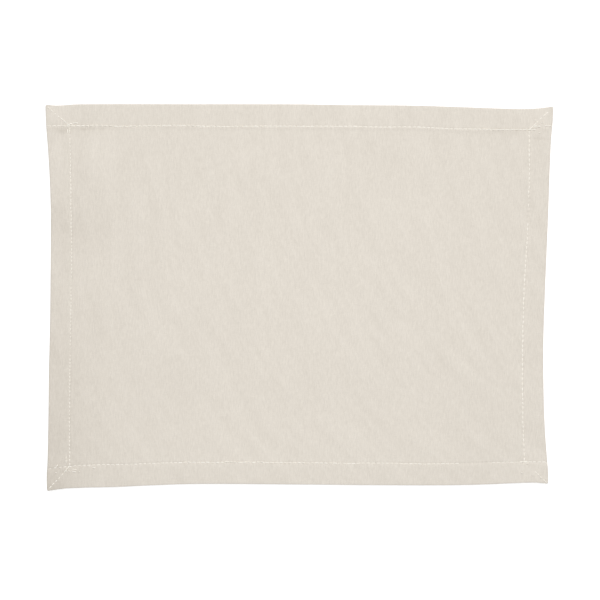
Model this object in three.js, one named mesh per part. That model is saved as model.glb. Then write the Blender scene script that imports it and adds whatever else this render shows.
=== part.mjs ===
// Fabric placemat: a rectangle of natural cotton canvas lying flat, face up, with a wide double-turned hem
// whose corners are mitred. Millimetres: X runs along the mat, Y across it and Z up, with the origin under
// its middle.
import * as THREE from "three";

const CLOTH_THICKNESS = 1.1; // one layer of canvas
const HEM_THICKNESS = 2.4; // the face and the hem turned under twice, pressed flat
const MITRE_BULK = 0.5; // added in the middle of a corner, where the turned layers of two hems meet
const MITRE_DENT = 0.35; // how deep the sewn mitre lies below the cloth beside it
const ROW_DENT = 0.35; // how deep a row of topstitches pulls the face down
const EDGE_TOP_SHARE = 0.68; // where the rounded outer fold meets its upright side, as a share of the hem
const EDGE_BOTTOM_SHARE = 0.32;

// Distances in from a row of topstitches, towards the middle of the mat.
const FOLD_IN = 2.1; // the inner fold of the hem, on the underside
const FOLD_STEP = 0.3; // over this distance the underside steps up from the fold to the single layer
const SLOPE_END = 10; // where the single layer has come down to the table
const FIELD_CELL = 24; // longest side of a facet in the flat middle

// Where the lines of the grid run across a hem, as shares of the way from its outer fold to the row of
// topstitches.
const HEM_SHARES = [0, 0.03, 0.14, 0.38, 0.62, 0.86];
// Where they run past the row, in millimetres.
const PAST_ROW = [0, FOLD_IN, FOLD_IN + FOLD_STEP, 5.5, SLOPE_END];
const SETTLING_PASSES = 8; // enough for a grid point to settle where its two lines cross

// The outline, uneven as sewn. The long edges give y at x, from left to right.
const TOP_EDGE = [
  { x: -228.6, y: 173.4 },
  { x: -217.0, y: 172.7 },
  { x: -199.0, y: 173.8 },
  { x: -100.0, y: 173.9 },
  { x: 0.0, y: 173.8 },
  { x: 28.0, y: 173.3 },
  { x: 60.0, y: 173.0 },
  { x: 103.0, y: 172.6 },
  { x: 150.0, y: 171.1 },
  { x: 196.0, y: 169.6 },
  { x: 213.0, y: 170.0 },
  { x: 228.6, y: 171.8 },
];
const BOTTOM_EDGE = [
  { x: -227.2, y: -174.1 },
  { x: -208.0, y: -171.7 },
  { x: -165.0, y: -170.5 },
  { x: -137.0, y: -169.2 },
  { x: -92.0, y: -167.8 },
  { x: 0.0, y: -168.3 },
  { x: 60.0, y: -168.8 },
  { x: 125.0, y: -169.0 },
  { x: 165.0, y: -168.3 },
  { x: 200.0, y: -166.8 },
  { x: 213.0, y: -166.7 },
  { x: 223.8, y: -167.7 },
];
// The short edges give x at y, from the bottom up.
const LEFT_EDGE = [
  { y: -174.1, x: -227.2 },
  { y: -160.0, x: -227.4 },
  { y: -148.0, x: -226.7 },
  { y: -109.0, x: -225.9 },
  { y: -66.0, x: -225.4 },
  { y: -37.0, x: -224.7 },
  { y: 0.0, x: -224.1 },
  { y: 72.0, x: -223.7 },
  { y: 100.0, x: -224.4 },
  { y: 130.0, x: -226.0 },
  { y: 157.0, x: -228.1 },
  { y: 173.4, x: -228.6 },
];
const RIGHT_EDGE = [
  { y: -167.7, x: 223.8 },
  { y: -157.0, x: 223.7 },
  { y: -137.0, x: 222.1 },
  { y: -112.0, x: 220.5 },
  { y: -80.0, x: 219.6 },
  { y: -44.0, x: 219.4 },
  { y: 0.0, x: 220.7 },
  { y: 72.0, x: 223.7 },
  { y: 121.0, x: 225.4 },
  { y: 143.0, x: 226.5 },
  { y: 157.0, x: 227.8 },
  { y: 171.8, x: 228.6 },
];

// The rows of topstitches. The long rows run from edge to edge and the short ones between them.
const TOP_ROW = [
  { x: -227.4, y: 154.5 },
  { x: -196.0, y: 154.9 },
  { x: -53.0, y: 154.2 },
  { x: 91.0, y: 153.2 },
  { x: 163.0, y: 151.5 },
  { x: 205.0, y: 150.5 },
  { x: 217.0, y: 153.8 },
  { x: 227.5, y: 154.4 },
];
const BOTTOM_ROW = [
  { x: -225.0, y: -154.6 },
  { x: -197.0, y: -151.7 },
  { x: -161.0, y: -150.3 },
  { x: -89.0, y: -148.4 },
  { x: -53.0, y: -148.1 },
  { x: 19.0, y: -148.8 },
  { x: 109.0, y: -149.7 },
  { x: 203.0, y: -148.1 },
  { x: 223.5, y: -148.6 },
];
const LEFT_ROW = [
  { y: -152.2, x: -206.7 },
  { y: -106.0, x: -207.1 },
  { y: -34.0, x: -206.2 },
  { y: 38.0, x: -205.3 },
  { y: 110.0, x: -205.9 },
  { y: 154.7, x: -206.5 },
];
const RIGHT_ROW = [
  { y: -148.3, x: 202.9 },
  { y: -111.0, x: 201.2 },
  { y: -57.0, x: 200.9 },
  { y: -3.0, x: 201.9 },
  { y: 69.0, x: 205.7 },
  { y: 105.0, x: 207.2 },
  { y: 150.6, x: 207.6 },
];

// Low swells where the cloth stands off the table.
const SWELLS = [
  { x: -186.0, y: 98.0, alongX: 34, alongY: 40, rise: 1.0 },
  { x: -48.0, y: 112.0, alongX: 60, alongY: 38, rise: 0.5 },
  { x: 148.0, y: -60.0, alongX: 70, alongY: 62, rise: 0.5 },
];

const CANVAS = new THREE.MeshStandardMaterial({ color: 0xe2dbd0, roughness: 0.92, metalness: 0 });

// A smooth line through places given as `across` at `along`, straight on past its ends.
function lineThrough(places, along, across) {
  const last = places.length - 1;
  const rise = (a, b) => places[b][across] - places[a][across];
  const run = (a, b) => places[b][along] - places[a][along];
  const slopeBetween = (a, b) => rise(a, b) / run(a, b);
  const slopeAt = (i) => slopeBetween(Math.max(i - 1, 0), Math.min(i + 1, last));
  return (at) => {
    if (at <= places[0][along]) return places[0][across] + (at - places[0][along]) * slopeAt(0);
    if (at >= places[last][along]) return places[last][across] + (at - places[last][along]) * slopeAt(last);
    const i = places.findIndex((place) => place[along] > at) - 1;
    const span = run(i, i + 1);
    const t = (at - places[i][along]) / span;
    const start = places[i][across] * (1 + 2 * t) * (1 - t) ** 2 + slopeAt(i) * span * t * (1 - t) ** 2;
    const end = places[i + 1][across] * (3 - 2 * t) * t ** 2 - slopeAt(i + 1) * span * (1 - t) * t ** 2;
    return start + end;
  };
}

// The four lines of each family, in order: outer fold, row, row and outer fold.
const levels = [BOTTOM_EDGE, BOTTOM_ROW, TOP_ROW, TOP_EDGE].map((line) => lineThrough(line, "x", "y"));
const uprights = [LEFT_EDGE, LEFT_ROW, RIGHT_ROW, RIGHT_EDGE].map((line) => lineThrough(line, "y", "x"));

// A place on one axis, from a station: 0 to 1 crosses the first hem, 1 to 2 the middle and 2 to 3 the other
// hem.
function placeBetween(lines, at, station) {
  const zone = Math.min(Math.floor(station), 2);
  return THREE.MathUtils.lerp(lines[zone](at), lines[zone + 1](at), station - zone);
}

// The point of the mat where a line of one family crosses a line of the other, each given by its station.
function pointAt(acrossStation, upStation) {
  const point = new THREE.Vector2();
  for (let pass = 0; pass < SETTLING_PASSES; pass += 1) {
    point.x = placeBetween(uprights, point.y, acrossStation);
    point.y = placeBetween(levels, point.x, upStation);
  }
  return point;
}

// The grid's lines along one axis, from one outer fold to the other. Each has its station, its share of the
// way across the hem, which is 1 everywhere past the row, and its distance past the nearer row.
function gridLines(middleLength) {
  const onHem = HEM_SHARES.map((share) => ({ station: share, hemShare: share, pastRow: 0 }));
  const pastRow = (distance) => ({
    station: 1 + distance / middleLength,
    hemShare: 1,
    pastRow: Math.min(distance, middleLength - distance),
  });
  const near = [...onHem, ...PAST_ROW.map(pastRow)];
  const flat = middleLength - 2 * SLOPE_END;
  const cells = Math.ceil(flat / FIELD_CELL);
  const middle = Array.from({ length: cells - 1 }, (_, i) => pastRow(SLOPE_END + (flat * (i + 1)) / cells));
  const far = near.map((line) => ({ ...line, station: 3 - line.station })).reverse();
  return [...near, ...middle, ...far];
}

// How much of the hem's height is left at a distance past its row, from 1 on the hem to 0 on the flat middle.
function hemHeightShare(pastRow) {
  return 1 - THREE.MathUtils.smoothstep(pastRow, FOLD_IN, SLOPE_END);
}

// How far the cloth stands off the table at a point.
function swellAt(point) {
  return SWELLS.reduce((sum, swell) => {
    const reach = Math.hypot((point.x - swell.x) / swell.alongX, (point.y - swell.y) / swell.alongY);
    return sum + swell.rise * (1 - THREE.MathUtils.smoothstep(reach, 0, 1));
  }, 0);
}

// What the sewing adds to the face: bulk in the corners, a dent along each mitre and one along each row.
function sewingRelief(across, up) {
  const onLongRow = up.hemShare === 1 && up.pastRow === 0;
  const onShortRow = across.hemShare === 1 && across.pastRow === 0 && up.hemShare === 1;
  if (onLongRow || onShortRow) return -ROW_DENT;
  if (across.hemShare === 1 || up.hemShare === 1) return 0;
  const bulk = MITRE_BULK * Math.sin(Math.PI * across.hemShare) * Math.sin(Math.PI * up.hemShare);
  return across.hemShare === up.hemShare ? bulk - MITRE_DENT : bulk;
}

// The heights of the face and the underside where two lines of the grid cross.
function heightsAt(point, across, up) {
  if (across.hemShare === 0 || up.hemShare === 0) {
    return { face: HEM_THICKNESS * EDGE_TOP_SHARE, underside: HEM_THICKNESS * EDGE_BOTTOM_SHARE };
  }
  const pastRow = Math.min(across.pastRow, up.pastRow);
  const onHem = hemHeightShare(pastRow);
  const offTable = (HEM_THICKNESS - CLOTH_THICKNESS) * onHem + swellAt(point) * (1 - onHem);
  return {
    face: CLOTH_THICKNESS + offTable + sewingRelief(across, up),
    underside: pastRow <= FOLD_IN ? 0 : offTable,
  };
}

// The grid of the mat: its lines both ways, and the index of the point where two of them cross.
function layGrid() {
  const columns = gridLines(uprights[2](0) - uprights[1](0));
  const rows = gridLines(levels[2](0) - levels[1](0));
  return { columns, rows, index: (column, row) => row * columns.length + column };
}

// Face and underside points, face first, as one flat list of coordinates.
function gridPoints({ columns, rows }) {
  const face = [];
  const underside = [];
  for (const up of rows) {
    for (const across of columns) {
      const point = pointAt(across.station, up.station);
      const heights = heightsAt(point, across, up);
      face.push(point.x, point.y, heights.face);
      underside.push(point.x, point.y, heights.underside);
    }
  }
  return [...face, ...underside];
}

// The triangles of the face. Each cell is split along the direction of the mitre in its own quarter of the
// mat.
function faceTriangles({ columns, rows, index }) {
  const triangles = [];
  for (let row = 0; row < rows.length - 1; row += 1) {
    for (let column = 0; column < columns.length - 1; column += 1) {
      const a = index(column, row);
      const b = index(column + 1, row);
      const c = index(column + 1, row + 1);
      const d = index(column, row + 1);
      const rising = column < columns.length / 2 === row < rows.length / 2;
      triangles.push(...(rising ? [a, b, c, a, c, d] : [a, b, d, b, c, d]));
    }
  }
  return triangles;
}

// The points round the mat's edge, in order from the near left corner.
function rimPoints({ columns, rows, index }) {
  const right = columns.length - 1;
  const far = rows.length - 1;
  const upTo = (count, pointOf) => Array.from({ length: count }, (_, i) => pointOf(i));
  return [
    ...upTo(right, (i) => index(i, 0)),
    ...upTo(far, (i) => index(right, i)),
    ...upTo(right, (i) => index(right - i, far)),
    ...upTo(far, (i) => index(0, far - i)),
  ];
}

// The mat as one closed solid: the face, the same grid turned over for the underside, and the outer fold
// that joins them all round.
function buildCloth() {
  const grid = layGrid();
  const perLayer = grid.columns.length * grid.rows.length;
  const face = faceTriangles(grid);
  const underside = face.map((point) => perLayer + point).reverse();
  const rim = rimPoints(grid);
  const fold = rim.flatMap((here, i) => {
    const next = rim[(i + 1) % rim.length];
    return [perLayer + here, perLayer + next, next, perLayer + here, next, here];
  });

  const geometry = new THREE.BufferGeometry();
  geometry.setAttribute("position", new THREE.Float32BufferAttribute(gridPoints(grid), 3));
  geometry.setIndex([...face, ...underside, ...fold]);
  geometry.computeVertexNormals();
  return geometry;
}

// The mat is centred on its own outline, with its underside on the table.
function centred(geometry) {
  geometry.computeBoundingBox();
  const middle = geometry.boundingBox.getCenter(new THREE.Vector3());
  return geometry.translate(-middle.x, -middle.y, 0);
}

const cloth = new THREE.Mesh(centred(buildCloth()), CANVAS);
cloth.name = "placemat_cloth";

const placemat = new THREE.Group();
placemat.add(cloth);

export default placemat;
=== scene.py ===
"""Natural canvas placemat: its hemmed cloth, its topstitching and the studio it lies in.

The cloth lies face up on a table. Its hem is turned under twice, its corners are mitred, and rows of
topstitches hold the hem. Sizes are in millimetres unless a name says otherwise. Meshes are in metres, in
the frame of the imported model.
"""

from __future__ import annotations

import logging
import math
from collections.abc import Sequence
from dataclasses import dataclass, field, replace
from enum import Enum
from functools import cached_property
from typing import NamedTuple

import bpy
import numpy as np
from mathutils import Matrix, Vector

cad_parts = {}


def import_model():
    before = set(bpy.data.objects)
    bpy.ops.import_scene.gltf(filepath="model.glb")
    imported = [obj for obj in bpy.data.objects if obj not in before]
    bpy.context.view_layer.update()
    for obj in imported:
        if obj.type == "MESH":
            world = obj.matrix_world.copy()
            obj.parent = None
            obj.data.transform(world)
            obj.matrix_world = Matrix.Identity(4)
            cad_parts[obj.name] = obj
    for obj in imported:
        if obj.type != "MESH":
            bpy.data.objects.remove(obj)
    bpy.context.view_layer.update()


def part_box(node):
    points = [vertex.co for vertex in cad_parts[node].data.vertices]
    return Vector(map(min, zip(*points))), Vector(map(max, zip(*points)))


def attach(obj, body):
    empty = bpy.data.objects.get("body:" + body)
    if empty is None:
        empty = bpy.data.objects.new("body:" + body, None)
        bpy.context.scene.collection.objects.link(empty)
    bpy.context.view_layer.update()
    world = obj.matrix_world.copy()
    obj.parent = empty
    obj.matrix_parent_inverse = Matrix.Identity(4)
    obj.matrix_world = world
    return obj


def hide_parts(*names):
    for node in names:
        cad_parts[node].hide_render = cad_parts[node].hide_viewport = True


LOG = logging.getLogger("placemat")

CLOTH_NODE = "placemat_cloth"
BODY = "root"
MM = 0.001  # metres in a millimetre
GOLDEN = 0.618034  # spreads numbers worked out from whole ones
LAST_STATION = 3  # the outer fold on the far side of the mat

Point = tuple[float, float]
Colour = tuple[float, float, float]
Socket = bpy.types.NodeSocket


def smoothstep(value: np.ndarray, start: float, end: float) -> np.ndarray:
    """Rises smoothly from 0 at start to 1 at end.

    Args:
        value: Where to read it.
        start: The place of 0.
        end: The place of 1.

    Returns:
        The share at each value.
    """
    share = np.clip((value - start) / (end - start), 0, 1)
    return share * share * (3 - 2 * share)


def bump(distance: np.ndarray, reach: float) -> np.ndarray:
    """Falls from 1 at no distance to almost 0 at twice the reach."""
    return np.exp(-((distance / reach) ** 2))


def points_of(mesh: bpy.types.Mesh) -> tuple[np.ndarray, np.ndarray]:
    """Reads where a mesh's points are, seen from above.

    Args:
        mesh: The mesh, in metres.

    Returns:
        Their places along X and along Y, in millimetres.
    """
    points = np.empty(len(mesh.vertices) * 3)
    mesh.vertices.foreach_get("co", points)
    x, y, _ = points.reshape(-1, 3).T / MM
    return x, y


def place_in_scene(name: str, data: bpy.types.ID) -> bpy.types.Object:
    """Adds an object to the scene, at the origin.

    Args:
        name: Its name.
        data: Its mesh, light or camera.

    Returns:
        The object.
    """
    obj = bpy.data.objects.new(name, data)
    bpy.context.scene.collection.objects.link(obj)
    return obj


@dataclass(frozen=True)
class SmoothLine:
    """A smooth line through places, straight on past its ends.

    Attributes:
        places: The place along and the place across of each, in order along the line.
    """

    places: tuple[Point, ...]

    def at(self, along: np.ndarray) -> np.ndarray:
        """Gives the place across at places along the line.

        Args:
            along: Places along the line.

        Returns:
            The place across at each of them.
        """
        known, height = np.array(self.places).T
        order = np.arange(len(known))
        before, after = np.maximum(order - 1, 0), np.minimum(order + 1, len(known) - 1)
        slope = (height[after] - height[before]) / (known[after] - known[before])
        i = np.clip(np.searchsorted(known, along, "right") - 1, 0, len(known) - 2)
        span = known[i + 1] - known[i]
        t = np.clip((along - known[i]) / span, 0, 1)
        start = height[i] * (1 + 2 * t) * (1 - t) ** 2 + slope[i] * span * t * (1 - t) ** 2
        end = height[i + 1] * (3 - 2 * t) * t**2 - slope[i + 1] * span * (1 - t) * t**2
        ahead = np.minimum(along - known[0], 0) * slope[0]
        behind = np.maximum(along - known[-1], 0) * slope[-1]
        return start + end + ahead + behind

    def moved(self, along: float, across: float) -> SmoothLine:
        """Gives the same line moved along and across."""
        return SmoothLine(tuple((a + along, b + across) for a, b in self.places))


def level(height: float) -> SmoothLine:
    """Gives the line that has the same height everywhere."""
    return SmoothLine(((0.0, height), (1.0, height)))


@dataclass(frozen=True)
class Unevenness:
    """A smooth random relief from 0 to 1 that is the same each time.

    Attributes:
        cell: The distance between its random values along X and along Y.
        seed: Chooses one such relief.
    """

    cell: tuple[float, float]
    seed: int

    SPAN = 512

    def at(self, x: np.ndarray, y: np.ndarray) -> np.ndarray:
        """Reads the relief.

        Args:
            x: Places along X.
            y: Places along Y.

        Returns:
            The relief at each place.
        """
        values = np.random.default_rng(self.seed).random((self.SPAN, self.SPAN))
        u, v = x / self.cell[0] + self.SPAN / 2, y / self.cell[1] + self.SPAN / 2
        i, j = np.floor(u).astype(int), np.floor(v).astype(int)
        s, t = smoothstep(u - i, 0, 1), smoothstep(v - j, 0, 1)
        low = values[i, j] * (1 - s) + values[i + 1, j] * s
        high = values[i, j + 1] * (1 - s) + values[i + 1, j + 1] * s
        return low * (1 - t) + high * t


class Side(Enum):
    """The sides of the mat, in the order of every array that has one row for each."""

    LEFT = 0
    RIGHT = 1
    BOTTOM = 2
    TOP = 3


class Clearance(NamedTuple):
    """How far points lie in from each side, one row for each side and one column for each point.

    Attributes:
        edges: Distances in from the outer folds.
        rows: Distances in from the rows of topstitches, below 0 on the hem.
    """

    edges: np.ndarray
    rows: np.ndarray

    @property
    def hem_share(self) -> np.ndarray:
        """Shares of the way across each hem: 0 at its outer fold and 1 from its row on."""
        return np.clip(self.edges / (self.edges - self.rows), 0, 1)


@dataclass(frozen=True)
class MatPlan:
    """Where the outer folds and the rows of topstitches run, seen from above.

    The long lines give Y at X and the short ones X at Y. The outline is as uneven as the mat was sewn.
    """

    top_edge: SmoothLine = SmoothLine((
        (-228.6, 173.4), (-217.0, 172.7), (-199.0, 173.8), (-100.0, 173.9), (0.0, 173.8), (28.0, 173.3),
        (60.0, 173.0), (103.0, 172.6), (150.0, 171.1), (196.0, 169.6), (213.0, 170.0), (228.6, 171.8),
    ))
    bottom_edge: SmoothLine = SmoothLine((
        (-227.2, -174.1), (-208.0, -171.7), (-165.0, -170.5), (-137.0, -169.2), (-92.0, -167.8),
        (0.0, -168.3), (60.0, -168.8), (125.0, -169.0), (165.0, -168.3), (200.0, -166.8), (213.0, -166.7),
        (223.8, -167.7),
    ))
    left_edge: SmoothLine = SmoothLine((
        (-174.1, -227.2), (-160.0, -227.4), (-148.0, -226.7), (-109.0, -225.9), (-66.0, -225.4),
        (-37.0, -224.7), (0.0, -224.1), (72.0, -223.7), (100.0, -224.4), (130.0, -226.0), (157.0, -228.1),
        (173.4, -228.6),
    ))
    right_edge: SmoothLine = SmoothLine((
        (-167.7, 223.8), (-157.0, 223.7), (-137.0, 222.1), (-112.0, 220.5), (-80.0, 219.6), (-44.0, 219.4),
        (0.0, 220.7), (72.0, 223.7), (121.0, 225.4), (143.0, 226.5), (157.0, 227.8), (171.8, 228.6),
    ))
    top_row: SmoothLine = SmoothLine((
        (-227.4, 154.2), (-196.0, 154.3), (-180.0, 154.6), (-163.0, 153.8), (-147.0, 154.0),
        (-110.0, 154.7), (-92.0, 154.1), (-74.0, 153.7), (-53.0, 153.7), (-38.0, 153.9), (45.0, 153.8),
        (70.0, 153.3), (104.0, 153.3), (120.0, 152.5), (142.0, 151.5), (163.0, 151.2), (205.0, 150.8),
        (212.8, 150.8), (215.8, 153.4), (227.5, 154.1),
    ))
    bottom_row: SmoothLine = SmoothLine((
        (-225.0, -154.0), (-197.0, -151.1), (-178.0, -150.5), (-160.0, -150.3), (-122.0, -148.9),
        (-85.0, -148.4), (-47.0, -148.2), (-20.0, -148.6), (27.0, -149.1), (83.0, -149.1),
        (109.0, -149.8), (140.0, -149.4), (177.0, -148.4), (203.0, -148.0), (223.5, -148.3),
    ))
    left_row: SmoothLine = SmoothLine((
        (-152.2, -206.7), (-106.0, -206.9), (-34.0, -206.0), (38.0, -205.1), (110.0, -205.9),
        (154.7, -206.6),
    ))
    right_row: SmoothLine = SmoothLine((
        (-148.3, 202.6), (-111.0, 200.9), (-57.0, 200.6), (-3.0, 201.6), (69.0, 205.4), (105.0, 206.7),
        (150.4, 206.5),
    ))

    SETTLING_PASSES = 8
    OUTLINE_POINTS = 601  # on each side, to find how far the outline reaches

    @classmethod
    def centred_on(cls, low: Vector, high: Vector) -> MatPlan:
        """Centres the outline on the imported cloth.

        Args:
            low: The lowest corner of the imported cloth, in metres.
            high: Its highest corner.

        Returns:
            The plan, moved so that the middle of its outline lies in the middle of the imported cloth.
        """
        plan = cls()
        stations = np.linspace(0, LAST_STATION, cls.OUTLINE_POINTS)
        folds = [np.full(cls.OUTLINE_POINTS, float(end)) for end in (0, LAST_STATION)]
        ends = [plan.lay(fold, stations) for fold in folds] + [plan.lay(stations, fold) for fold in folds]
        x, y = np.concatenate([np.array(end) for end in ends], axis=1)
        right = (low.x + high.x) / 2 / MM - (x.min() + x.max()) / 2
        up = (low.y + high.y) / 2 / MM - (y.min() + y.max()) / 2
        long_lines = ("top_edge", "bottom_edge", "top_row", "bottom_row")
        short_lines = ("left_edge", "right_edge", "left_row", "right_row")
        moved = {name: getattr(plan, name).moved(right, up) for name in long_lines}
        moved |= {name: getattr(plan, name).moved(up, right) for name in short_lines}
        return replace(plan, **moved)

    def lay(self, across: np.ndarray, up: np.ndarray) -> tuple[np.ndarray, np.ndarray]:
        """Finds the points of the mat at stations.

        From 0 to 1 a station crosses the first hem, from 1 to 2 the middle and from 2 to 3 the other hem.

        Args:
            across: The station of each point along X.
            up: The station of each point along Y.

        Returns:
            The X and the Y of each point.
        """
        x, y = np.zeros(len(across)), np.zeros(len(up))
        uprights = (self.left_edge, self.left_row, self.right_row, self.right_edge)
        levels = (self.bottom_edge, self.bottom_row, self.top_row, self.top_edge)
        for _ in range(self.SETTLING_PASSES):
            x = self._between(uprights, y, across)
            y = self._between(levels, x, up)
        return x, y

    @staticmethod
    def _between(lines: Sequence[SmoothLine], at: np.ndarray, station: np.ndarray) -> np.ndarray:
        """Places points on one axis between four lines, from their stations."""
        zone = np.clip(station.astype(int), 0, LAST_STATION - 1)
        places = np.array([line.at(at) for line in lines])
        point = np.arange(len(at))
        start, end = places[zone, point], places[zone + 1, point]
        return start + (end - start) * (station - zone)

    def clearance(self, x: np.ndarray, y: np.ndarray) -> Clearance:
        """Measures how far points lie in from each outer fold and each row."""

        def inwards(left: SmoothLine, right: SmoothLine, bottom: SmoothLine, top: SmoothLine) -> np.ndarray:
            """Measures in from one line on each side."""
            return np.array([x - left.at(y), right.at(y) - x, y - bottom.at(x), top.at(x) - y])

        return Clearance(
            inwards(self.left_edge, self.right_edge, self.bottom_edge, self.top_edge),
            inwards(self.left_row, self.right_row, self.bottom_row, self.top_row),
        )

    @cached_property
    def size(self) -> tuple[float, float]:
        """The distance between the side rows and that between the long rows, through the middle."""
        centre = self.clearance(np.zeros(1), np.zeros(1)).rows[:, 0]
        return float(centre[0] + centre[1]), float(centre[2] + centre[3])


@dataclass(frozen=True)
class SewnRow:
    """One row of stitches, on a line in a frame of its own.

    Attributes:
        name: What a maker calls it.
        origin: Where its line starts to be measured.
        heading: The direction in which it is sewn, one long.
        lateral: The direction across it, one long.
        line: Its place across at each place along.
        start: Where the first needle hole is, along the line.
        end: Where the last one is.
        pitch: The usual length of a stitch.
        seed: Chooses how the stitches differ.
        slack: How far its thread stands out of the needle holes at each place along, or below 0 how tight
            it is.
        on_mitre: Whether it runs over a mitre.
    """

    name: str
    origin: Point
    heading: tuple[float, float]
    lateral: tuple[float, float]
    line: SmoothLine
    start: float
    end: float
    pitch: float
    seed: int
    slack: SmoothLine
    on_mitre: bool = False

    PITCH_SPREAD = 0.07  # of the pitch
    SIDE_SPREAD = 0.16

    def local(self, x: np.ndarray, y: np.ndarray) -> tuple[np.ndarray, np.ndarray]:
        """Gives the place of points along the row and their distance across it."""
        right, up = x - self.origin[0], y - self.origin[1]
        along = right * self.heading[0] + up * self.heading[1]
        across = right * self.lateral[0] + up * self.lateral[1]
        return along, across - self.line.at(along)

    @cached_property
    def hole_places(self) -> np.ndarray:
        """Where the needle holes are along the row."""
        count = max(round((self.end - self.start) / self.pitch), 1)
        steps = 1 + self.PITCH_SPREAD * np.random.default_rng(self.seed).normal(size=count)
        places = np.concatenate([[0], np.cumsum(steps)])
        return self.start + places / places[-1] * (self.end - self.start)

    @cached_property
    def holes(self) -> np.ndarray:
        """The needle holes, as an array of points seen from above."""
        along = self.hole_places
        wander = self.SIDE_SPREAD * np.random.default_rng(self.seed + 1).normal(size=len(along))
        across = self.line.at(along) + wander
        heading, lateral = np.array(self.heading), np.array(self.lateral)
        return np.array(self.origin) + np.outer(along, heading) + np.outer(across, lateral)

    def phase(self, along: np.ndarray) -> np.ndarray:
        """Counts the stitches up to places along the row: whole at a needle hole."""
        return np.interp(along, self.hole_places, np.arange(len(self.hole_places)))

    def inside(self, along: np.ndarray, fade: float) -> np.ndarray:
        """Gives 1 along the row, and falls to 0 past its ends."""
        begun = smoothstep(along, self.start - fade, self.start)
        return begun * (1 - smoothstep(along, self.end, self.end + fade))


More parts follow.
